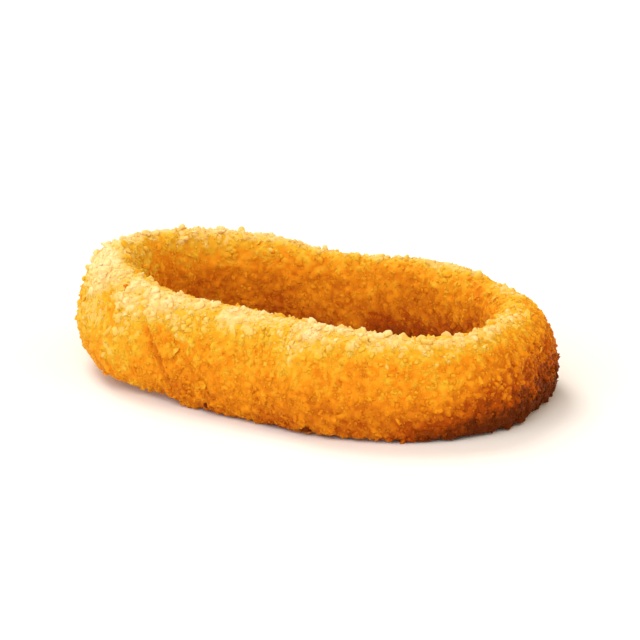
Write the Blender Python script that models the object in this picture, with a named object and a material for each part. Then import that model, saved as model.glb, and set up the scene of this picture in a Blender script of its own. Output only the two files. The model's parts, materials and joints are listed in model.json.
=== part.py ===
"""A breaded onion ring lying on its cut face.

One closed solid, out to the outline of its crumb coat. Metres, +Z up. The origin is under the middle
of the ring, on the surface that it lies on.
"""

from math import atan2, cos, exp, hypot, radians, sin

import bmesh
import bpy
from mathutils import Vector

# The slice, measured over its coat
OUTER_LENGTH = 0.0774
OUTER_WIDTH = 0.0536
WALL = 0.0091
HEIGHT = 0.0157

# How its outline differs from a plain oval
OVAL_POWER = 2.48
LOBES = 3
LOBE_DEPTH = 0.049
LOBE_TURN = radians(233)
SIDE_SHIFT = 0.067
SIDE_TURN = radians(265)

# How its wall differs from a plain rounded bar
WALL_POWER = 2.2
LEAN_IN = 0.19
WALL_SWELL = 0.027
TALL_SIDE = 0.043
TALL_TURN = radians(258)
LOW_ENDS = 0.020

# One end curls up off the surface, and the rest is pressed a little flat
CURL_START = -0.0080
CURL_RISE = 0.0031
CURL_POWER = 1.6
PRESSED_FLAT = 0.0006

# Thick and thin places of the coat: (where round the ring, where round the wall, how far out, how wide).
# The wall's places run from 0 on the outside, over the top at 90, down the inside at 180.
COAT_PLACES = (
    (radians(216), radians(18), -0.0010, 0.0040),
    (radians(229), radians(40), 0.0006, 0.0025),
    (radians(237), radians(350), -0.0005, 0.0034),
    (radians(236), radians(290), -0.0012, 0.0070),
    (radians(150), radians(60), 0.0004, 0.0070),
    (radians(105), radians(120), -0.0005, 0.0080),
    (radians(70), radians(80), 0.0004, 0.0065),
    (radians(35), radians(10), -0.0005, 0.0075),
    (radians(300), radians(20), 0.0004, 0.0080),
    (radians(338), radians(85), -0.0003, 0.0060),
    (radians(18), radians(170), 0.0005, 0.0060),
    (radians(198), radians(172), 0.0013, 0.0055),
    (radians(217), radians(168), 0.0011, 0.0050),
)

# Shallow waves that run round the ring: (how many, how deep, where the first one starts).
# They are deepest on the outside of the wall, and lean a little as they cross it.
WAVES = (
    (5, 0.00018, radians(20)),
    (9, 0.00013, radians(130)),
    (14, 0.00010, radians(75)),
)
WAVE_MEAN = 0.6
WAVE_SWING = 0.4
WAVE_LEAN = 0.6

STATIONS = 104
WALL_POINTS = 26
SMALL_TURN = radians(0.5)

COAT_COLOUR = (0.78, 0.33, 0.045, 1.0)
COAT_ROUGHNESS = 0.62

HALF_LENGTH = (OUTER_LENGTH - WALL) / 2
HALF_WIDTH = (OUTER_WIDTH - WALL) / 2


def clear_scene():
    for obj in list(bpy.data.objects):
        bpy.data.objects.remove(obj, do_unlink=True)


def signed_power(value, power):
    return abs(value) ** power * (1 if value >= 0 else -1)


def centre_line(turn):
    """The middle of the wall, seen from above, at an angle round the ring: an oval, pulled out of true."""
    oval = abs(cos(turn) / HALF_LENGTH) ** OVAL_POWER + abs(sin(turn) / HALF_WIDTH) ** OVAL_POWER
    uneven = 1 + LOBE_DEPTH * cos(LOBES * turn - LOBE_TURN) + SIDE_SHIFT * cos(turn - SIDE_TURN)
    reach = oval ** (-1 / OVAL_POWER) * uneven
    return Vector((reach * cos(turn), reach * sin(turn), 0))


def outward(turn):
    """The direction that points square out of the wall at an angle round the ring."""
    along = centre_line(turn + SMALL_TURN) - centre_line(turn - SMALL_TURN)
    return Vector((along.y, -along.x, 0)).normalized()


def curl_height(x):
    """How far the wall's underside stands off the surface at this place along the ring."""
    share = max(0.0, (CURL_START - x) / (CURL_START + HALF_LENGTH))
    return CURL_RISE * share**CURL_POWER


def wall_point(turn, across):
    """A point of the smooth wall: turn goes round the ring, and across goes round the wall."""
    half_wall = WALL / 2 * (1 + WALL_SWELL * cos(turn))
    half_height = HEIGHT / 2 * (1 + TALL_SIDE * cos(turn - TALL_TURN) - LOW_ENDS * cos(2 * turn))
    side = signed_power(cos(across), 2 / WALL_POWER)
    rise = signed_power(sin(across), 2 / WALL_POWER)
    middle = centre_line(turn)
    lean = LEAN_IN * half_height * rise
    point = middle + outward(turn) * (half_wall * side - lean)
    point.z = half_height * (1 + rise) + curl_height(middle.x)
    return point


def coat_depth(point, turn, across, places):
    """How far the coat stands proud of the smooth wall at a point of it."""
    depth = sum(amount * exp(-((point - place).length / width) ** 2) for place, amount, width in places)
    outer_share = WAVE_MEAN + WAVE_SWING * cos(across)
    for count, amount, start in WAVES:
        depth += amount * outer_share * sin(count * turn - start + WAVE_LEAN * sin(across))
    return depth


def shaped_ring():
    """Reshapes a plain torus into the ring, point by point."""
    bpy.ops.mesh.primitive_torus_add(
        major_segments=STATIONS,
        minor_segments=WALL_POINTS,
        major_radius=HALF_LENGTH,
        minor_radius=WALL / 2,
    )
    ring = bpy.context.object
    places = [
        (wall_point(turn, across), amount, width) for turn, across, amount, width in COAT_PLACES
    ]
    mesh = bmesh.new()
    mesh.from_mesh(ring.data)
    angles = [
        (atan2(vert.co.y, vert.co.x), atan2(vert.co.z, hypot(vert.co.x, vert.co.y) - HALF_LENGTH))
        for vert in mesh.verts
    ]
    for vert, (turn, across) in zip(mesh.verts, angles):
        vert.co = wall_point(turn, across)
    mesh.normal_update()
    normals = [vert.normal.copy() for vert in mesh.verts]
    for vert, normal, (turn, across) in zip(mesh.verts, normals, angles):
        vert.co += normal * coat_depth(vert.co, turn, across, places)
        vert.co.z = max(0.0, vert.co.z - PRESSED_FLAT)
    centre_over_origin(mesh)
    mesh.to_mesh(ring.data)
    mesh.free()
    return ring


def centre_over_origin(mesh):
    """Moves the points sideways, so that the middle of their box is over the origin."""
    for axis in (0, 1):
        places = [vert.co[axis] for vert in mesh.verts]
        middle = (min(places) + max(places)) / 2
        for vert in mesh.verts:
            vert.co[axis] -= middle


def coat_material():
    material = bpy.data.materials.new("crumb_coat")
    material.use_nodes = True
    shader = material.node_tree.nodes["Principled BSDF"]
    shader.inputs["Base Color"].default_value = COAT_COLOUR
    shader.inputs["Roughness"].default_value = COAT_ROUGHNESS
    shader.inputs["Metallic"].default_value = 0.0
    return material


def main():
    clear_scene()
    ring = shaped_ring()
    ring.name = "onion_ring"
    ring.data.name = "onion_ring"
    ring.data.materials.append(coat_material())
    ring.data.shade_smooth()


main()
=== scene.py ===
"""A fried breadcrumb coat for an onion ring, and a small studio to see it in.

The coat is built as a cook builds it. First a bed of crumbs sinks into the batter and fries into one crust.
Then loose crumbs of several kinds catch on the crust. Each kind has its own browning.
"""

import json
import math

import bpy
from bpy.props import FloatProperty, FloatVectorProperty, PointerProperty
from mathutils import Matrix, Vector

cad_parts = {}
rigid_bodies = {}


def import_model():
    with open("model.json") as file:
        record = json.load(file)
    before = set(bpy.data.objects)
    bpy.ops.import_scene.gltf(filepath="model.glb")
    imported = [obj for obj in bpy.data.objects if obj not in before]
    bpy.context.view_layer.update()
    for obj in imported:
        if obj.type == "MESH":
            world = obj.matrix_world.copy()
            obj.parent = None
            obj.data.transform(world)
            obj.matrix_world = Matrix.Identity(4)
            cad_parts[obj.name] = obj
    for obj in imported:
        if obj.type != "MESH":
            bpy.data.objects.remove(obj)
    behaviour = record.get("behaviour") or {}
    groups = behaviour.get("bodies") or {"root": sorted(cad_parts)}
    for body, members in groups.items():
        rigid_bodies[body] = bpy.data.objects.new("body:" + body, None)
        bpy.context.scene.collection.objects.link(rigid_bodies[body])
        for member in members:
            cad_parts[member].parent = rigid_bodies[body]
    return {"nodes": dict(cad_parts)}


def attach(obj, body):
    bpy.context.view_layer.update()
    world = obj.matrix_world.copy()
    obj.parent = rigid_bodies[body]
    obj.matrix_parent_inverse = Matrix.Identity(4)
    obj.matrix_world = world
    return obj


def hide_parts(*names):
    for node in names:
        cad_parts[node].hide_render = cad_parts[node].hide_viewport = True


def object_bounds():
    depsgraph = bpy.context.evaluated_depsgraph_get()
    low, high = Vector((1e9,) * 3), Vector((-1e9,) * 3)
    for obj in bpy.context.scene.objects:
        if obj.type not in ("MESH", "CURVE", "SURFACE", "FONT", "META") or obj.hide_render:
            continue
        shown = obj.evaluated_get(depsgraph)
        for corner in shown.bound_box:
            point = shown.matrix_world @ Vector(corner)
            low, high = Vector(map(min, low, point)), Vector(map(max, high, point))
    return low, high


bl_info = {
    "name": "Breaded Onion Ring",
    "version": (1, 0, 0),
    "blender": (4, 5, 0),
    "location": "3D View > Sidebar > Onion Ring",
    "description": "Coats an onion ring in fried breadcrumbs and sets up a small studio",
    "category": "Object",
}

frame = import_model()
CAD_LOW, CAD_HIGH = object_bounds()

NODE = "onion_ring"
BODY = "root"
MM = 0.001
SQUARE_CM = 1e-4

# The crust is cut down to this many faces at most
MOST_FACES = 196000


# Settings

class ONIONRING_PG_crust(bpy.types.PropertyGroup):
    """The crust: crumbs that have sunk into the batter"""

    inset: FloatProperty(
        name="Inset", description="How far the batter lies inside the outline of the coat",
        default=0.45 * MM, unit="LENGTH")
    spacing: FloatProperty(
        name="Crumb spacing", description="Least distance between two crumbs of the bed",
        default=0.70 * MM, unit="LENGTH")
    smallest: FloatProperty(
        name="Smallest crumb", description="Size of the smallest crumb of the bed",
        default=0.6 * MM, unit="LENGTH")
    largest: FloatProperty(
        name="Largest crumb", description="Size of the largest crumb of the bed",
        default=1.7 * MM, unit="LENGTH")
    voxel: FloatProperty(
        name="Detail", description="Size of the cells that join the bed into one crust",
        default=0.33 * MM, unit="LENGTH")
    pitting: FloatProperty(
        name="Pitting", description="Depth of the fine pits of the crust",
        default=0.22 * MM, unit="LENGTH")


class ONIONRING_PG_crumbs(bpy.types.PropertyGroup):
    """The loose crumbs that have caught on the crust"""

    fine_size: FloatProperty(
        name="Fine crumb", description="Size of the largest fine crumb",
        default=0.82 * MM, unit="LENGTH")
    crumb_size: FloatProperty(
        name="Crumb", description="Size of the largest ordinary crumb",
        default=1.4 * MM, unit="LENGTH")
    flake_size: FloatProperty(
        name="Flake", description="Size of the largest flake",
        default=2.3 * MM, unit="LENGTH")
    rim_size: FloatProperty(
        name="Rim crumb", description="Size of the largest crumb along the top of the wall",
        default=1.9 * MM, unit="LENGTH")
    fine_count: FloatProperty(
        name="Fine crumbs", description="Fine crumbs of each colour on a square centimetre of the crust",
        default=195, min=0)
    crumb_count: FloatProperty(
        name="Crumbs", description="Ordinary crumbs of each colour on a square centimetre of the crust",
        default=34, min=0)
    toasted_count: FloatProperty(
        name="Toasted crumbs", description="Toasted crumbs on a square centimetre of the crust",
        default=5, min=0)
    flake_count: FloatProperty(
        name="Flakes", description="Flakes on a square centimetre of the crust",
        default=3, min=0)
    rim_count: FloatProperty(
        name="Rim crumbs", description="Coarse crumbs on a square centimetre of the top of the wall",
        default=24, min=0)


class ONIONRING_PG_colours(bpy.types.PropertyGroup):
    """The browning of the coat, from the palest crumb to the darkest. These colours also paint light and
    shade: Pale a painted highlight along the top, the darker ones painted shade at the foot, inside the ring
    and over the shaded end.
    """

    pale: FloatVectorProperty(
        name="Pale", description="Crumbs that stand up and brown last",
        default=(0.93, 0.69, 0.335), subtype="COLOR", min=0, max=1)
    golden: FloatVectorProperty(
        name="Golden", description="The coat's main colour",
        default=(0.76, 0.45, 0.027), subtype="COLOR", min=0, max=1)
    deep: FloatVectorProperty(
        name="Deep", description="Batter between the crumbs",
        default=(0.79, 0.285, 0.008), subtype="COLOR", min=0, max=1)
    toasted: FloatVectorProperty(
        name="Toasted", description="Crumbs and spots that have browned well",
        default=(0.42, 0.075, 0.002), subtype="COLOR", min=0, max=1)
    burnt: FloatVectorProperty(
        name="Burnt", description="Crumbs and spots that have browned most",
        default=(0.12, 0.020, 0.001), subtype="COLOR", min=0, max=1)


class ONIONRING_PG_studio(bpy.types.PropertyGroup):
    """The floor, the lights and the camera"""

    floor: FloatVectorProperty(
        name="Floor", description="Colour of the floor",
        default=(0.90, 0.92, 0.95), subtype="COLOR", min=0, max=1)
    room: FloatVectorProperty(
        name="Room", description="Colour of the light from all round",
        default=(1.0, 0.84, 0.64), subtype="COLOR", min=0, max=1)
    azimuth: FloatProperty(
        name="Camera turn", description="Turn of the camera round the ring, from the front",
        default=math.radians(33.6), subtype="ANGLE")
    elevation: FloatProperty(
        name="Camera height", description="Angle of the camera above the table",
        default=math.radians(16.0), subtype="ANGLE")
    distance: FloatProperty(
        name="Camera distance", description="Distance from the camera to the ring",
        default=0.70, unit="LENGTH")
    lens: FloatProperty(
        name="Lens", description="Focal length of the camera",
        default=256.0, unit="CAMERA")
    key: FloatProperty(
        name="Key light", description="Strength of the main soft light",
        default=2.05, min=0)
    rim: FloatProperty(
        name="Rim light", description="Strength of the light from behind",
        default=1.9, min=0)
    sky: FloatProperty(
        name="Room light", description="Strength of the light from all round",
        default=0.30, min=0)


# Small tools

def make_only(obj):
    """Selects this object alone, and makes it active."""
    if bpy.context.mode != "OBJECT":
        bpy.ops.object.mode_set(mode="OBJECT")
    bpy.ops.object.select_all(action="DESELECT")
    obj.hide_set(False)
    obj.select_set(True)
    bpy.context.view_layer.objects.active = obj


def edit(obj):
    """Opens this object alone in edit mode, with everything in it selected."""
    make_only(obj)
    bpy.ops.object.mode_set(mode="EDIT")
    bpy.ops.mesh.select_all(action="SELECT")


def stop_editing():
    bpy.ops.object.mode_set(mode="OBJECT")


def apply_modifier(obj, kind, **settings):
    """Adds a modifier with these settings and applies it."""
    make_only(obj)
    modifier = obj.modifiers.new(kind.title(), kind)
    for name, value in settings.items():
        setattr(modifier, name, value)
    bpy.ops.object.modifier_apply(modifier=modifier.name)


def apply_nodes(obj, group, **inputs):
    """Runs a Geometry Nodes group on an object, with these inputs, and applies it."""
    make_only(obj)
    modifier = obj.modifiers.new(group.name, "NODES")
    modifier.node_group = group
    for item in group.interface.items_tree:
        key = item.name.lower().replace(" ", "_")
        if item.item_type == "SOCKET" and item.in_out == "INPUT" and key in inputs:
            modifier[item.identifier] = inputs[key]
    bpy.ops.object.modifier_apply(modifier=modifier.name)


def copy_of(obj, name):
    """A copy of an object with its own mesh, standing free."""
    copied = bpy.data.objects.new(name, obj.data.copy())
    copied.data.name = name
    bpy.context.scene.collection.objects.link(copied)
    return copied


def remove(*objects):
    for obj in objects:
        mesh = obj.data
        bpy.data.objects.remove(obj, do_unlink=True)
        bpy.data.meshes.remove(mesh)


class Tree:
    """A node tree that is easy to write: nodes are made in one line, and inputs take values or sockets."""

    def __init__(self, tree):
        self.tree = tree

    def add(self, kind, *inputs, out=0, **settings):
        """Adds a node, sets it, fills its inputs by place, and returns the output asked for."""
        node = self.tree.nodes.new(kind)
        named = settings.pop("named", {})
        for name, value in settings.items():
            setattr(node, name, value)
        for place, value in list(enumerate(inputs)) + list(named.items()):
            self.fill(node.inputs[place], value)
        return node.outputs[out] if out is not None else node

    def fill(self, socket, value):
        if value is None:
            return
        if isinstance(value, bpy.types.NodeSocket):
            self.tree.links.new(value, socket)
        else:
            socket.default_value = value

    def math(self, operation, *values):
        return self.add("ShaderNodeMath", *values, operation=operation)

    def vector(self, operation, *values, out=0):
        return self.add("ShaderNodeVectorMath", *values, operation=operation, out=out)

    def dot(self, one, other):
        return self.vector("DOT_PRODUCT", one, other, out=1)

    def product(self, *values):
        return self.math("MULTIPLY", *values)

    def sum(self, *values):
        return self.math("ADD", *values)

    def less(self, value, taken):
        """A number with another taken from it."""
        return self.math("SUBTRACT", value, taken)

    def weighed(self, start, shares):
        """A number plus every value times its share."""
        total = start
        for value, share in shares:
            total = self.math("MULTIPLY_ADD", value, share, total)
        return total

    def scaled(self, vector, amount):
        """A vector times a number."""
        return self.add("ShaderNodeVectorMath", vector, operation="SCALE", named={"Scale": amount})

    def attribute(self, name):
        """A number stored on the mesh."""
        return self.add("ShaderNodeAttribute", out="Fac", attribute_name=name)

    def height_of(self, position):
        """How high a place is over the table."""
        return self.add("ShaderNodeSeparateXYZ", position, out=2)

    def fit(self, value, low, high, to_low=0.0, to_high=1.0):
        """Maps a value from one range to another, and clamps it."""
        return self.add("ShaderNodeMapRange", value, low, high, to_low, to_high)


def new_group(name, kind, inputs, outputs):
    """Starts a node group with these sockets. Returns the group, its tree, its inputs and its outputs."""
    group = bpy.data.node_groups.new(name, kind)
    for in_out, sockets in (("INPUT", inputs), ("OUTPUT", outputs)):
        for label, socket_kind in sockets:
            group.interface.new_socket(name=label, in_out=in_out, socket_type=socket_kind)
    tree = Tree(group)
    start = group.nodes.new("NodeGroupInput")
    end = group.nodes.new("NodeGroupOutput")
    return group, tree, start.outputs, end.inputs


# Geometry Nodes groups

# The bare patches of the coat, and the noise at which the coat is quite covered and quite bare
BARE_PATCH_SCALE = 140.0
BARE_PATCH_EDGES = (0.6, 0.4)
PIT_SCALE = 1500.0

# Above 1, the small crumbs of a kind are commoner than its large ones
SIZE_BIAS = 1.6

# Each kind of random draw has its own seed, this far from the piece's own
TURN_SEED = 11.0
TONE_SEED = 23.0

# How far a hollow and a crumb's top stand out from the batter, as shares of the tallest crumb
LOWEST_RISE = -0.2
HIGHEST_RISE = 1.0

# How far a place faces away from the ring's middle where it counts as quite outside, and as quite inside
FACING_OUT = 0.3
FACING_IN = -0.7

# Where the coat has torn and closed again: (turn round the ring in degrees, height over the table in mm)
SEAM = ((228, 15.6), (232, 15.0), (235, 13.0), (237, 11.0), (240, 9.0), (243, 7.0), (246, 4.0))
HOLLOW = ((217, 14.5), (221, 12.0), (224, 10.0))

# The seam's far edge stands proud, this far round from the seam
LIP_TURN = 2.6

# What is raised or sunk: (places, how far round from them, rise in mm, width in mm, how bare it stays)
RELIEFS = (
    (SEAM, LIP_TURN, 0.45, 1.1, 0.0),
    (SEAM, 0.0, -0.65, 0.55, 0.8),
    (HOLLOW, 0.0, -0.5, 1.3, 0.6),
)

# Clumps of crumbs and burnt crumbs that stand out one by one: (turn in degrees, height in mm, size in mm)
PALE_CLUMPS = (
    (224.0, 13.2, 1.5), (226.5, 14.4, 1.3), (229.8, 13.6, 1.7), (228.2, 12.6, 1.3), (226.8, 11.6, 1.8),
    (230.4, 11.3, 1.5), (228.8, 10.2, 1.3), (226.2, 9.5, 1.4), (247.3, 12.0, 1.5), (250.2, 12.6, 1.7),
    (252.0, 12.4, 1.4), (254.0, 10.8, 1.5), (247.5, 8.2, 1.4), (300.0, 10.7, 1.6), (303.0, 12.4, 1.3),
    (277.0, 13.6, 1.6), (290.0, 14.2, 1.5), (312.0, 14.0, 1.7),
)
BURNT_CRUMBS = ((299.5, 0.9, 1.5), (334.0, 1.0, 1.6), (221.5, 15.8, 0.8), (262.0, 1.5, 1.0))

GEOMETRY = "NodeSocketGeometry"
SWITCH = "NodeSocketBool"
FLOAT = "NodeSocketFloat"
INTEGER = "NodeSocketInt"
OBJECT = "NodeSocketObject"
COLLECTION = "NodeSocketCollection"
COLOUR = "NodeSocketColor"


def pressed_up(tree, geometry):
    """Presses what would reach below the table up to it."""
    height = tree.height_of(tree.add("GeometryNodeInputPosition"))
    lift = tree.math("MAXIMUM", tree.less(0.0, height), 0.0)
    offset = tree.add("ShaderNodeCombineXYZ", 0.0, 0.0, lift)
    return tree.add("GeometryNodeSetPosition", geometry, None, None, offset)


def random_number(tree, low, high, seed):
    """A random number for each crumb."""
    return tree.add(
        "FunctionNodeRandomValue", data_type="FLOAT", out=1, named={2: low, 3: high, "Seed": seed})


def store(tree, geometry, name, value, domain="POINT"):
    """Stores a number under this name."""
    return tree.add(
        "GeometryNodeStoreNamedAttribute", geometry, data_type="FLOAT", domain=domain,
        named={"Name": name, "Value": value})


def stored(tree, name):
    return tree.add("GeometryNodeInputNamedAttribute", name, data_type="FLOAT")


def scatter_group():
    """Crumbs strewn over a surface, each with its own size, turn and tone, joined into one mesh."""
    group, tree, given, result = new_group(
        "Strewn crumbs", "GeometryNodeTree",
        [
            ("Surface", GEOMETRY), ("Crumbs", COLLECTION), ("Spacing", FLOAT), ("Density", FLOAT),
            ("Patches", FLOAT), ("Smallest", FLOAT), ("Largest", FLOAT), ("Sink", FLOAT),
            ("Tilt", FLOAT), ("Clear of table", FLOAT), ("Bare inside", FLOAT), ("Seed", INTEGER),
            ("Keep surface", SWITCH),
        ],
        [("Crumbs", GEOMETRY)],
    )
    seed = given["Seed"]
    position = tree.add("GeometryNodeInputPosition")
    noise = tree.add("ShaderNodeTexNoise", tree.vector("ADD", position, seed), None, BARE_PATCH_SCALE)
    patchy = tree.less(1.0, tree.product(given["Patches"], tree.fit(noise, *BARE_PATCH_EDGES)))
    clear = tree.math("GREATER_THAN", tree.height_of(position), given["Clear of table"])
    bare = tree.weighed(stored(tree, "bare"), [(stored(tree, "inside"), given["Bare inside"])])
    clear = tree.product(clear, tree.less(1.0, tree.math("MINIMUM", bare, 1.0)))
    spread = tree.add(
        "GeometryNodeDistributePointsOnFaces", distribute_method="POISSON", out=None,
        named={
            "Mesh": given["Surface"], "Distance Min": given["Spacing"], "Density Max": given["Density"],
            "Density Factor": tree.product(patchy, clear), "Seed": seed,
        })
    luck = tree.math("POWER", random_number(tree, 0.0, 1.0, seed), SIZE_BIAS)
    size = tree.fit(luck, 0.0, 1.0, given["Smallest"], given["Largest"])
    points = store(tree, spread.outputs["Points"], "size", size)
    size = stored(tree, "size")
    sunk = tree.scaled(spread.outputs["Normal"], tree.product(size, given["Sink"]))
    points = tree.add("GeometryNodeSetPosition", points, None, None, sunk)
    most = tree.add("ShaderNodeCombineXYZ", given["Tilt"], given["Tilt"], math.pi)
    turn = tree.add(
        "FunctionNodeRandomValue", tree.scaled(most, -1.0), most, data_type="FLOAT_VECTOR",
        named={"Seed": tree.sum(seed, TURN_SEED)})
    facing = tree.add(
        "FunctionNodeRotateRotation", spread.outputs["Rotation"], turn, rotation_space="LOCAL")
    kinds = tree.add("GeometryNodeCollectionInfo", given["Crumbs"], True, True)
    crumbs = tree.add(
        "GeometryNodeInstanceOnPoints", points, None, kinds, True, None, facing,
        named={"Scale": tree.add("ShaderNodeCombineXYZ", size, size, size)})
    tone = random_number(tree, 0.0, 1.0, tree.sum(seed, TONE_SEED))
    crumbs = store(tree, crumbs, "tone", tone, domain="INSTANCE")
    crumbs = tree.add("GeometryNodeRealizeInstances", crumbs)
    both = tree.add("GeometryNodeJoinGeometry", crumbs)
    tree.fill(both.node.inputs[0], given["Surface"])
    choice = tree.add("GeometryNodeSwitch", given["Keep surface"], crumbs, both, input_type="GEOMETRY")
    tree.fill(result["Crumbs"], pressed_up(tree, choice))
    return group


def relief_group():
    """Raises or sinks a surface along a guide line, and can keep the line bare of crumbs."""
    group, tree, given, result = new_group(
        "Relief along a line", "GeometryNodeTree",
        [("Surface", GEOMETRY), ("Line", OBJECT), ("Rise", FLOAT), ("Width", FLOAT), ("Bareness", FLOAT)],
        [("Surface", GEOMETRY)],
    )
    line = tree.add("GeometryNodeObjectInfo", given["Line"], out="Geometry")
    away = tree.add("GeometryNodeProximity", line, target_element="EDGES", out="Distance")
    share = tree.math("DIVIDE", away, given["Width"])
    profile = tree.math("EXPONENT", tree.product(tree.math("POWER", share, 2.0), -1.0))
    bare = tree.weighed(stored(tree, "bare"), [(profile, given["Bareness"])])
    surface = store(tree, given["Surface"], "bare", bare)
    offset = tree.scaled(tree.add("GeometryNodeInputNormal"), tree.product(profile, given["Rise"]))
    tree.fill(result["Surface"], tree.add("GeometryNodeSetPosition", surface, None, None, offset))
    return group


def crust_group():
    """Pits the crust finely, and stores each place's tone, its height and how far it faces inwards."""
    group, tree, given, result = new_group(
        "Fried crust", "GeometryNodeTree",
        [("Crust", GEOMETRY), ("Bed", OBJECT), ("Batter", OBJECT), ("Pitting", FLOAT), ("Tallest", FLOAT)],
        [("Crust", GEOMETRY)],
    )
    position = tree.add("GeometryNodeInputPosition")
    normal = tree.add("GeometryNodeInputNormal")
    bed = tree.add("GeometryNodeObjectInfo", given["Bed"], out="Geometry")
    batter = tree.add("GeometryNodeObjectInfo", given["Batter"], out="Geometry")
    sample = "GeometryNodeSampleNearestSurface"
    tone = tree.add(sample, bed, data_type="FLOAT", named={"Value": stored(tree, "tone")})
    bare = tree.add(sample, batter, data_type="FLOAT", named={"Value": stored(tree, "bare")})
    outward = tree.add(sample, batter, data_type="FLOAT_VECTOR", named={"Value": normal})
    nearest = tree.add("GeometryNodeProximity", batter, target_element="FACES", out="Position")
    rise = tree.dot(tree.vector("SUBTRACT", position, nearest), outward)
    height = tree.fit(tree.math("DIVIDE", rise, given["Tallest"]), LOWEST_RISE, HIGHEST_RISE)
    from_middle = tree.vector("NORMALIZE", tree.vector("MULTIPLY", position, (1.0, 1.0, 0.0)))
    inside = tree.fit(tree.dot(from_middle, outward), FACING_OUT, FACING_IN)
    crust = store(tree, given["Crust"], "tone", tone)
    crust = store(tree, crust, "height", height)
    crust = store(tree, crust, "inside", inside)
    crust = store(tree, crust, "bare", bare)
    pits = tree.add("ShaderNodeTexNoise", position, None, PIT_SCALE, 3.0, 0.6)
    pitted = tree.scaled(normal, tree.product(tree.less(pits, 0.5), given["Pitting"]))
    crust = tree.add("GeometryNodeSetPosition", crust, None, None, pitted)
    tree.fill(result["Crust"], pressed_up(tree, crust))
    return group


# Places on the ring

def outer_place(surface, turn, height):
    """The point of the ring's outer side at this turn and height in mm, and the direction that it faces."""
    turn = math.radians(turn)
    inward = Vector((-math.cos(turn), -math.sin(turn), 0.0))
    start = Vector((0.0, 0.0, height * MM)) - inward * 2 * CAD_HIGH.x
    hit, place, facing, _ = surface.ray_cast(start, inward)
    if not hit:
        raise RuntimeError(f"the ring has no outer side {height} mm up at {turn} radians")
    return place, facing


def guide_line(surface, places):
    """A line that runs over the ring's outer side through these places."""
    points = [outer_place(surface, turn, height)[0] for turn, height in places]
    edges = [(number, number + 1) for number in range(len(points) - 1)]
    mesh = bpy.data.meshes.new("guide")
    mesh.from_pydata(points, edges, [])
    line = bpy.data.objects.new("guide", mesh)
    bpy.context.scene.collection.objects.link(line)
    return line


# Crumb shapes. A crumb is modelled about a unit across, and sized when it is strewn. The sines with odd steps
# only make the crumbs and their lumps differ.

# Lumps and broken sides follow each other round a crumb by this turn, in radians
NEXT_TURN = 2.4
LUMP_RADIUS = 0.27
LUMP_SPREAD = 0.09
LUMP_REACH = 0.26
BROKEN_SIDES = 2
BREAK_DISTANCE = 0.33
COARSE_ROUGHNESS = 0.07
FINE_ROUGHNESS = 0.03
FINE_SEED = 100
CRUMB_VOXEL = 0.07


def break_off(seed):
    """Breaks off the crumb that is being edited, flat on two sides."""
    for side in range(BROKEN_SIDES):
        turn = NEXT_TURN * side + 1.7 * seed
        normal = Vector((math.cos(turn), math.sin(turn), math.sin(1.9 * side + 0.7 * seed))).normalized()
        bpy.ops.mesh.select_all(action="SELECT")
        bpy.ops.mesh.bisect(
            plane_co=normal * BREAK_DISTANCE, plane_no=normal, use_fill=True, clear_outer=True)


def model_crumb(name, seed, lumps, faces, stretch):
    """One crumb: a few rough lumps of bread that hang together, broken off on two sides."""
    bpy.ops.object.select_all(action="DESELECT")
    parts = []
    for lump in range(lumps):
        turn = NEXT_TURN * lump + 1.3 * seed
        reach = LUMP_REACH * (lump > 0)
        place = (reach * math.cos(turn), reach * math.sin(turn), 0.6 * reach * math.sin(2.9 * lump + seed))
        radius = LUMP_RADIUS + LUMP_SPREAD * math.sin(1.7 * lump + 2.1 * seed)
        bpy.ops.mesh.primitive_ico_sphere_add(subdivisions=2, radius=radius, location=place)
        parts.append(bpy.context.object)
    for part in parts:
        part.select_set(True)
    bpy.ops.object.join()
    crumb = bpy.context.object
    crumb.name = name
    make_only(crumb)
    bpy.ops.object.transform_apply(location=True, rotation=True, scale=True)
    edit(crumb)
    bpy.ops.transform.vertex_random(offset=COARSE_ROUGHNESS, uniform=1.0, seed=seed)
    break_off(seed)
    stop_editing()
    apply_modifier(crumb, "REMESH", mode="VOXEL", voxel_size=CRUMB_VOXEL)
    edit(crumb)
    bpy.ops.transform.vertex_random(offset=FINE_ROUGHNESS, uniform=1.0, seed=seed + FINE_SEED)
    bpy.ops.transform.resize(value=stretch)
    stop_editing()
    apply_modifier(crumb, "DECIMATE", ratio=faces / (2 * len(crumb.data.polygons)))
    return crumb


def crumb_tray(name, count, lumps, faces, length, flatness):
    """A collection of different crumbs of one kind."""
    tray = bpy.data.collections.new(name)
    bpy.context.scene.collection.children.link(tray)
    for number in range(count):
        long_side = length + 0.25 * math.sin(2.3 * number)
        short_side = 0.9 + 0.12 * math.cos(1.7 * number)
        thickness = flatness + 0.12 * math.sin(3.1 * number)
        crumb = model_crumb(f"{name}_{number}", number + 1, lumps, faces, (long_side, short_side, thickness))
        for home in crumb.users_collection:
            home.objects.unlink(crumb)
        tray.objects.link(crumb)
    return tray


def empty_tray(tray):
    remove(*tray.objects)
    bpy.data.collections.remove(tray)


# Finishes

# The coat's colour goes by a level, which is higher where the coat is paler: its own browning, with painted
# light and shade added. Each colour gives way to the next one between two levels.
COLOURS = ("Burnt", "Toasted", "Deep", "Golden", "Pale")
GIVES_WAY = ((-1.00, -0.45), (-0.45, 0.06), (0.04, 0.40), (0.38, 0.84))

# The end in this direction is painted in shade, darkest low down. The opposite end curls up, and is painted
# lighter.
SHADED_END = (0.83, 0.55, 0.0)

# Ranges of places or amounts: (from, to, the value at the first, the value at the second).
# The top of the wall is paler with a painted highlight, though less so inside the ring.
CREST_HIGHLIGHT = (11.5 * MM, 16 * MM, 0.0, 0.43)
CREST_HIGHLIGHT_SHARE_INSIDE = (0.2, 1.0, 1.0, 0.65)

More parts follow.
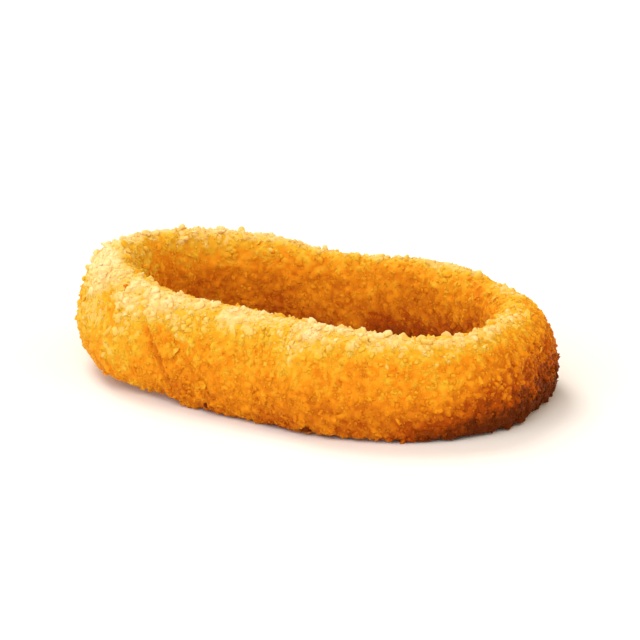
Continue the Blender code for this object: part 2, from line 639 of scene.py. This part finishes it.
# The foot is darker with painted shade, though less so at the curled end, and that fades out over these
# heights
FOOT_SHADE_ALONG = (-36 * MM, -14 * MM, -0.10, -0.42)
FOOT_SHADE_HEIGHTS = (1 * MM, 12 * MM)
ABOVE_FOOT_SHADE = 0.10

# The foot of the shaded end is darker still, a painted shadow
END_FOOT_SHADOW_ALONG = (4 * MM, 24 * MM, 0.0, -0.55)
END_FOOT_SHADOW_HEIGHTS = (1 * MM, 6.5 * MM)

# The curled end is paler on its outside, a painted highlight, and darker on its inside, painted shade
CURLED_END_LIGHT_AND_SHADE = (0.0, 0.8, 0.09, -0.12)
CURLED_ALONG = (-38 * MM, -18 * MM)

# The painted shade of the shaded end deepens with the way along it, less with the height, and most in the
# darkest crumbs
END_SHADE_LENGTH = 14 * MM
END_SHADE_HEIGHT = 12 * MM
END_SHADE = (0.7, 2.3, 0.0, -0.75)
END_SHADE_TONES = (0.0, 1.0, 1.2, 0.6)

# What else moves the level, and by how much
# Crumb tops are paler and the hollows between them deeper: partly the batter's own deeper colour, partly a
# painted highlight on the tops and painted shade in the hollows
RISE_TONE_AND_SHADE = 0.28
OWN_TONE = 0.19
MIDDLE_TONE = 0.2
# Inside the ring, the coat is painted in shade
INSIDE_SHADE = -0.20
BARE_BATTER = -0.32
PATCHES = 0.9
FLECKS = 0.25

PATCH_SCALE = 150.0
FLECK_SCALE = 1100.0
GRAIN_SCALE = 2600.0
BLISTER_SCALE = 1900.0
BUMP = 0.05 * MM
GLOSSIEST = 0.42
DULLEST = 0.66
OIL_GLOSS = 0.05

# The light that sinks into a crumb: its share, and how far its colours go beside each other
SUNK_SHARE = 0.5
SUNK_COLOURS = (1.0, 0.9, 0.8)


def browning_and_painted_light_group():
    """How far a crumb or the batter has browned, by what it is and where it is, and the colour of that, with
    painted light and shade added by where it is.
    """
    group, tree, given, result = new_group(
        "Browning", "ShaderNodeTree",
        [
            ("Tone", FLOAT), ("Height", FLOAT), ("Inside", FLOAT), ("Shift", FLOAT),
            *((name, COLOUR) for name in COLOURS),
        ],
        [("Colour", COLOUR)],
    )
    place = tree.add("ShaderNodeTexCoord", out="Object")
    patches = tree.add("ShaderNodeTexNoise", place, None, PATCH_SCALE, 3.0, 0.5)
    flecks = tree.add("ShaderNodeTexNoise", place, None, FLECK_SCALE, 3.0, 0.6)
    height = tree.height_of(place)
    along = tree.dot(place, SHADED_END)
    # Painted shade at the foot, lighter at the curled end
    foot = tree.fit(height, *FOOT_SHADE_HEIGHTS, tree.fit(along, *FOOT_SHADE_ALONG), ABOVE_FOOT_SHADE)
    # The painted highlight along the top of the wall, over the painted shade of the foot
    foot_shade_and_crest_highlight = tree.weighed(foot, [(tree.fit(height, *CREST_HIGHLIGHT), tree.fit(given["Inside"], *CREST_HIGHLIGHT_SHARE_INSIDE))])
    # Painted shade over the shaded end, mottled by the crumbs' tones
    into_shaded_end = tree.less(
        tree.math("DIVIDE", along, END_SHADE_LENGTH), tree.math("DIVIDE", height, END_SHADE_HEIGHT))
    browned = tree.product(tree.fit(into_shaded_end, *END_SHADE), tree.fit(given["Tone"], *END_SHADE_TONES))
    # A painted shadow at the foot of the shaded end
    end_foot_shadow = tree.fit(height, *END_FOOT_SHADOW_HEIGHTS, tree.fit(along, *END_FOOT_SHADOW_ALONG), 0.0)
    # The curled end's painted highlight outside and painted shade inside
    curled = tree.fit(along, *CURLED_ALONG, tree.fit(given["Inside"], *CURLED_END_LIGHT_AND_SHADE), 0.0)
    painted_ends = tree.sum(tree.sum(browned, end_foot_shadow), curled)
    level = tree.weighed(given["Shift"], [
        (given["Height"], RISE_TONE_AND_SHADE), (tree.less(given["Tone"], MIDDLE_TONE), OWN_TONE),
        (foot_shade_and_crest_highlight, 1.0), (given["Inside"], INSIDE_SHADE), (painted_ends, 1.0),
        (tree.attribute("bare"), BARE_BATTER), (tree.less(patches, 0.5), PATCHES),
        (tree.less(flecks, 0.5), FLECKS),
    ])
    colour = given[COLOURS[0]]
    for name, levels in zip(COLOURS[1:], GIVES_WAY):
        colour = tree.add(
            "ShaderNodeMix", out=2, data_type="RGBA",
            named={0: tree.fit(level, *levels), 6: colour, 7: given[name]})
    tree.fill(result["Colour"], colour)
    return group


def grain_group():
    """The grain of a fried crumb: fine pits and blisters, as a height for a bump."""
    group, tree, given, result = new_group(
        "Crumb grain", "ShaderNodeTree", [("Grain scale", FLOAT), ("Blister scale", FLOAT)],
        [("Height", FLOAT), ("Blisters", FLOAT)])
    place = tree.add("ShaderNodeTexCoord", out="Object")
    grain = tree.add("ShaderNodeTexNoise", place, None, given["Grain scale"], 4.0, 0.65)
    blisters = tree.add("ShaderNodeTexVoronoi", place, None, given["Blister scale"])
    tree.fill(result["Height"], tree.weighed(grain, [(blisters, 0.5)]))
    tree.fill(result["Blisters"], blisters)
    return group


def made_once(name, maker):
    return bpy.data.node_groups.get(name) or maker()


def fried_material(name, shift, height=None, glow=0.5):
    """A fried finish: browned colour with painted light and shade, light that sinks in a little, fine grain
    and a thin film of oil.
    """
    colours = bpy.context.scene.onion_ring_colours
    material = bpy.data.materials.new(name)
    material.use_nodes = True
    tree = Tree(material.node_tree)
    shader = material.node_tree.nodes["Principled BSDF"]
    if height is None:
        height = tree.attribute("height")
    browned = tree.add(
        "ShaderNodeGroup", out="Colour", node_tree=made_once("Browning", browning_and_painted_light_group),
        named={
            "Tone": tree.attribute("tone"), "Height": height, "Inside": tree.attribute("inside"),
            "Shift": shift, **{label: (*getattr(colours, label.lower()), 1.0) for label in COLOURS},
        })
    grain = tree.add(
        "ShaderNodeGroup", out=None, node_tree=made_once("Crumb grain", grain_group),
        named={"Grain scale": GRAIN_SCALE, "Blister scale": BLISTER_SCALE})
    bumped = tree.add(
        "ShaderNodeBump", named={"Strength": 0.7, "Distance": BUMP, "Height": grain.outputs["Height"]})
    tree.fill(shader.inputs["Base Color"], browned)
    tree.fill(shader.inputs["Roughness"], tree.fit(grain.outputs["Blisters"], 0.0, 0.8, GLOSSIEST, DULLEST))
    tree.fill(shader.inputs["Normal"], bumped)
    shader.inputs["Subsurface Weight"].default_value = SUNK_SHARE
    shader.inputs["Subsurface Radius"].default_value = SUNK_COLOURS
    shader.inputs["Subsurface Scale"].default_value = glow * MM
    shader.inputs["Specular IOR Level"].default_value = OIL_GLOSS
    return material


def finish_piece(piece, material, smooth=50):
    """Gives a piece its one material, faces that are smooth up to an angle, and its place in the model."""
    piece.data.materials.clear()
    piece.data.materials.append(material)
    make_only(piece)
    bpy.ops.object.shade_smooth_by_angle(angle=math.radians(smooth))
    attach(piece, BODY)


# The pieces

BED_DENSITY = 400
BED_SINK = -0.03
BED_TILT = 1.0
TALLEST_CRUMB = 0.9 * MM

STREWN_TILT = 0.9
STREWN_BARE_INSIDE = 0.25
STREWN_SMOOTH = 60
RIM_HEIGHT = 13.0 * MM


def shaped_batter(inset):
    """The batter: the ring's own shape, a little smaller, with the tear and the hollow of its curled end."""
    batter = copy_of(frame["nodes"][NODE], "batter")
    edit(batter)
    bpy.ops.mesh.remove_doubles(threshold=0.01 * MM)
    bpy.ops.mesh.tris_convert_to_quads()
    bpy.ops.mesh.normals_make_consistent(inside=False)
    bpy.ops.transform.shrink_fatten(value=-inset)
    stop_editing()
    apply_modifier(batter, "SUBSURF", levels=2, render_levels=2)
    for places, shift, rise, width, bareness in RELIEFS:
        line = guide_line(batter, [(turn + shift, height) for turn, height in places])
        apply_nodes(
            batter, made_once("Relief along a line", relief_group), line=line, rise=rise * MM,
            width=width * MM, bareness=bareness)
        remove(line)
    return batter


class ONIONRING_OT_crust(bpy.types.Operator):
    """Builds the crust: crumbs sunk into the batter and fried into one piece"""

    bl_idname = "onion_ring.crust"
    bl_label = "Crust"

    def execute(self, context):
        sizes = context.scene.onion_ring_crust
        batter = shaped_batter(sizes.inset)
        tray = crumb_tray("bed_crumb", count=12, lumps=4, faces=160, length=1.1, flatness=0.85)
        bed = copy_of(batter, "bed")
        apply_nodes(
            bed, made_once("Strewn crumbs", scatter_group), crumbs=tray, spacing=sizes.spacing,
            density=BED_DENSITY / SQUARE_CM, patches=0.0, smallest=sizes.smallest, largest=sizes.largest,
            sink=BED_SINK, tilt=BED_TILT, clear_of_table=-1.0, bare_inside=0.0, seed=3, keep_surface=True,
        )
        empty_tray(tray)
        crust = copy_of(bed, "crust")
        apply_modifier(crust, "REMESH", mode="VOXEL", voxel_size=sizes.voxel)
        apply_modifier(crust, "SMOOTH", factor=0.4, iterations=1)
        faces = 2 * len(crust.data.polygons)
        apply_modifier(crust, "DECIMATE", ratio=min(1.0, MOST_FACES / faces))
        apply_nodes(
            crust, made_once("Fried crust", crust_group), bed=bed, batter=batter,
            pitting=sizes.pitting, tallest=TALLEST_CRUMB,
        )
        remove(bed, batter)
        finish_piece(crust, fried_material("fried crust", shift=0.0, glow=0.6))
        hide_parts(NODE)
        return {"FINISHED"}


def strew(
        name, tray, count, largest, smallest, spacing, seed, material, sink=-0.2, patches=0.6,
        clear_of_table=0.3 * MM):
    """Strews one kind of crumb over the crust, and makes it a piece of its own."""
    piece = copy_of(bpy.data.objects["crust"], name)
    apply_nodes(
        piece, made_once("Strewn crumbs", scatter_group), crumbs=tray, spacing=spacing,
        density=count / SQUARE_CM, patches=patches, smallest=smallest * largest, largest=largest,
        sink=sink, tilt=STREWN_TILT, clear_of_table=clear_of_table, bare_inside=STREWN_BARE_INSIDE,
        seed=seed, keep_surface=False,
    )
    empty_tray(tray)
    finish_piece(piece, material, STREWN_SMOOTH)


class ONIONRING_OT_fine_crumbs(bpy.types.Operator):
    """Strews the fine crumbs that fill in between the others"""

    bl_idname = "onion_ring.fine_crumbs"
    bl_label = "Fine crumbs"

    def execute(self, context):
        sizes = context.scene.onion_ring_crumbs
        for name, shift, seed in (("fine_pale", 0.08, 31), ("fine_golden", -0.02, 37)):
            strew(
                name, crumb_tray(name, count=10, lumps=2, faces=16, length=1.05, flatness=0.95),
                sizes.fine_count, largest=sizes.fine_size, smallest=0.5, spacing=0.25 * MM, seed=seed,
                material=fried_material(name, shift), sink=-0.05, patches=0.2,
            )
        return {"FINISHED"}


class ONIONRING_OT_crumbs(bpy.types.Operator):
    """Strews the ordinary crumbs: pale, golden and toasted ones"""

    bl_idname = "onion_ring.crumbs"
    bl_label = "Crumbs"

    def execute(self, context):
        sizes = context.scene.onion_ring_crumbs
        kinds = (
            ("pale_crumbs", sizes.crumb_count, 0.10, None, 41),
            ("golden_crumbs", sizes.crumb_count, 0.0, None, 51),
            ("toasted_crumbs", sizes.toasted_count, -0.16, 0.3, 61),
        )
        for name, count, shift, height, seed in kinds:
            strew(
                name, crumb_tray(name, count=14, lumps=4, faces=44, length=1.1, flatness=0.8),
                count, largest=sizes.crumb_size, smallest=0.45, spacing=0.45 * MM, seed=seed,
                material=fried_material(name, shift, height, glow=0.55), sink=-0.12,
            )
        return {"FINISHED"}


class ONIONRING_OT_flakes(bpy.types.Operator):
    """Strews the flakes: broad thin crumbs that stand out most"""

    bl_idname = "onion_ring.flakes"
    bl_label = "Flakes"

    def execute(self, context):
        sizes = context.scene.onion_ring_crumbs
        strew(
            "flakes", crumb_tray("flake", count=10, lumps=5, faces=60, length=1.25, flatness=0.5),
            sizes.flake_count, largest=sizes.flake_size, smallest=0.5, spacing=0.9 * MM, seed=71,
            material=fried_material("flake", shift=0.1, height=0.8, glow=0.45),
        )
        return {"FINISHED"}


class ONIONRING_OT_rim_crumbs(bpy.types.Operator):
    """Strews coarse crumbs along the top of the wall"""

    bl_idname = "onion_ring.rim_crumbs"
    bl_label = "Rim crumbs"

    def execute(self, context):
        sizes = context.scene.onion_ring_crumbs
        strew(
            "rim_crumbs", crumb_tray("rim_crumb", count=12, lumps=5, faces=90, length=1.1, flatness=0.85),
            sizes.rim_count, largest=sizes.rim_size, smallest=0.55, spacing=0.7 * MM, seed=81,
            material=fried_material("rim crumb", shift=0.04, glow=0.6), sink=-0.05, patches=0.3,
            clear_of_table=RIM_HEIGHT,
        )
        return {"FINISHED"}


def set_down(name, places, seed, material, sink):
    """Presses a clump of crumbs onto the crust at each of these places, and joins them into one piece."""
    crust = bpy.data.objects["crust"]
    clumps = []
    for number, (turn, height, size) in enumerate(places):
        place, facing = outer_place(crust, turn, height)
        clump = model_crumb(f"{name}_{number}", seed + number, lumps=6, faces=260, stretch=(1.15, 1.0, 0.8))
        clump.location = place - facing * sink * size * MM
        clump.rotation_euler = facing.to_track_quat("Z", "Y").to_euler()
        clump.scale = (size * MM,) * 3
        clumps.append(clump)
    bpy.ops.object.select_all(action="DESELECT")
    for clump in clumps:
        clump.select_set(True)
    bpy.context.view_layer.objects.active = clumps[0]
    bpy.ops.object.join()
    piece = bpy.context.object
    piece.name = name
    bpy.ops.object.transform_apply(location=True, rotation=True, scale=True)
    finish_piece(piece, material)


class ONIONRING_OT_clumps(bpy.types.Operator):
    """Presses on the clumps of crumbs and the burnt crumbs that stand out one by one"""

    bl_idname = "onion_ring.clumps"
    bl_label = "Clumps"

    def execute(self, context):
        clump = fried_material("clump", shift=0.05, height=0.9)
        burnt = fried_material("burnt crumb", shift=-0.6, height=0.0, glow=0.1)
        set_down("pale_clumps", PALE_CLUMPS, seed=5, material=clump, sink=0.12)
        set_down("burnt_crumbs", BURNT_CRUMBS, seed=3, material=burnt, sink=0.1)
        return {"FINISHED"}


# The lamps: (name, strength where it isn't a setting, colour, turn from the camera, height, softness)
LAMPS = (
    ("key", None, (1.0, 1.0, 1.0), -30, 42, 75),
    ("rim", None, (1.0, 0.90, 0.78), -150, 48, 30),
    ("glow", 0.95, (1.0, 0.72, 0.44), 65, 35, 60),
)

# The room is brightest in this direction, turned from the camera: (turn, height), in degrees
BRIGHTEST_SIDE = (-10, 62)
DIM_SHARE = 0.7
BRIGHT_SHARE = 1.6
BACKDROP = (1.0, 1.0, 1.0, 1.0)
FLOOR_SIZE = 8.0
FLOOR_ROUGHNESS = 0.9
NEAREST_SEEN = 0.05
FURTHEST_SEEN = 20.0


class ONIONRING_OT_stage(bpy.types.Operator):
    """Sets up the floor, the soft lights and the camera"""

    bl_idname = "onion_ring.stage"
    bl_label = "Studio"

    def execute(self, context):
        studio = context.scene.onion_ring_studio
        self.floor(studio)
        self.room(context, studio)
        for name, strength, colour, turn, height, softness in LAMPS:
            if strength is None:
                strength = getattr(studio, name)
            towards = direction(studio.azimuth + math.radians(turn), math.radians(height))
            self.lamp(context, name, strength, colour, towards, math.radians(softness))
        self.camera(context, studio)
        context.scene.view_settings.view_transform = "Standard"
        return {"FINISHED"}

    def floor(self, studio):
        bpy.ops.object.select_all(action="DESELECT")
        bpy.ops.mesh.primitive_plane_add(size=FLOOR_SIZE)
        floor = bpy.context.object
        floor.name = "floor"
        paper = bpy.data.materials.new("paper")
        paper.use_nodes = True
        shader = paper.node_tree.nodes["Principled BSDF"]
        shader.inputs["Base Color"].default_value = (*studio.floor, 1.0)
        shader.inputs["Roughness"].default_value = FLOOR_ROUGHNESS
        floor.data.materials.append(paper)

    def room(self, context, studio):
        """The light from all round, and the white backdrop that the camera sees."""
        world = bpy.data.worlds.new("room")
        world.use_nodes = True
        sky = Tree(world.node_tree)
        background = world.node_tree.nodes["Background"]
        turn, height = BRIGHTEST_SIDE
        brightest = direction(studio.azimuth + math.radians(turn), math.radians(height))
        facing = sky.dot(sky.add("ShaderNodeTexCoord", out="Generated"), brightest)
        strength = sky.fit(facing, -0.6, 1.0, DIM_SHARE * studio.sky, BRIGHT_SHARE * studio.sky)
        seen = sky.add("ShaderNodeLightPath", out="Is Camera Ray")
        colour = sky.add(
            "ShaderNodeMix", out=2, data_type="RGBA", named={0: seen, 6: (*studio.room, 1.0), 7: BACKDROP})
        sky.fill(background.inputs["Color"], colour)
        sky.fill(background.inputs["Strength"], sky.math("MAXIMUM", strength, seen))
        context.scene.world = world

    def lamp(self, context, name, strength, colour, towards, softness):
        lamp = bpy.data.lights.new(name, "SUN")
        lamp.color = colour
        lamp.energy = strength
        lamp.angle = softness
        holder = bpy.data.objects.new(name, lamp)
        context.scene.collection.objects.link(holder)
        holder.rotation_euler = towards.to_track_quat("Z", "Y").to_euler()

    def camera(self, context, studio):
        lens = bpy.data.cameras.new("camera")
        lens.lens = studio.lens
        lens.clip_start = NEAREST_SEEN
        lens.clip_end = FURTHEST_SEEN
        camera = bpy.data.objects.new("camera", lens)
        context.scene.collection.objects.link(camera)
        back = direction(studio.azimuth, studio.elevation)
        camera.location = (CAD_LOW + CAD_HIGH) / 2 + back * studio.distance
        camera.rotation_euler = back.to_track_quat("Z", "Y").to_euler()
        context.scene.camera = camera


def direction(azimuth, elevation):
    """The direction from the ring to something at this turn from the front and this angle over the table."""
    flat = math.cos(elevation)
    return Vector((math.sin(azimuth) * flat, -math.cos(azimuth) * flat, math.sin(elevation)))


class ONIONRING_PT_panel(bpy.types.Panel):
    """Lists the pieces of the onion ring"""

    bl_label = "Onion Ring"
    bl_idname = "ONIONRING_PT_panel"
    bl_space_type = "VIEW_3D"
    bl_region_type = "UI"
    bl_category = "Onion Ring"

    def draw(self, context):
        for operator in OPERATORS:
            self.layout.operator(operator.bl_idname)


OPERATORS = (
    ONIONRING_OT_crust, ONIONRING_OT_fine_crumbs, ONIONRING_OT_crumbs, ONIONRING_OT_flakes,
    ONIONRING_OT_rim_crumbs, ONIONRING_OT_clumps, ONIONRING_OT_stage,
)
SETTINGS = {
    "onion_ring_crust": ONIONRING_PG_crust,
    "onion_ring_crumbs": ONIONRING_PG_crumbs,
    "onion_ring_colours": ONIONRING_PG_colours,
    "onion_ring_studio": ONIONRING_PG_studio,
}
CLASSES = (*SETTINGS.values(), *OPERATORS, ONIONRING_PT_panel)


def register():
    for cls in CLASSES:
        bpy.utils.register_class(cls)
    for name, group in SETTINGS.items():
        setattr(bpy.types.Scene, name, PointerProperty(type=group))


def unregister():
    for name in SETTINGS:
        delattr(bpy.types.Scene, name)
    for cls in reversed(CLASSES):
        bpy.utils.unregister_class(cls)


def main():
    register()
    bpy.ops.onion_ring.crust()
    bpy.ops.onion_ring.fine_crumbs()
    bpy.ops.onion_ring.crumbs()
    bpy.ops.onion_ring.flakes()
    bpy.ops.onion_ring.rim_crumbs()
    bpy.ops.onion_ring.clumps()
    bpy.ops.onion_ring.stage()


if __name__ == "__main__":
    main()
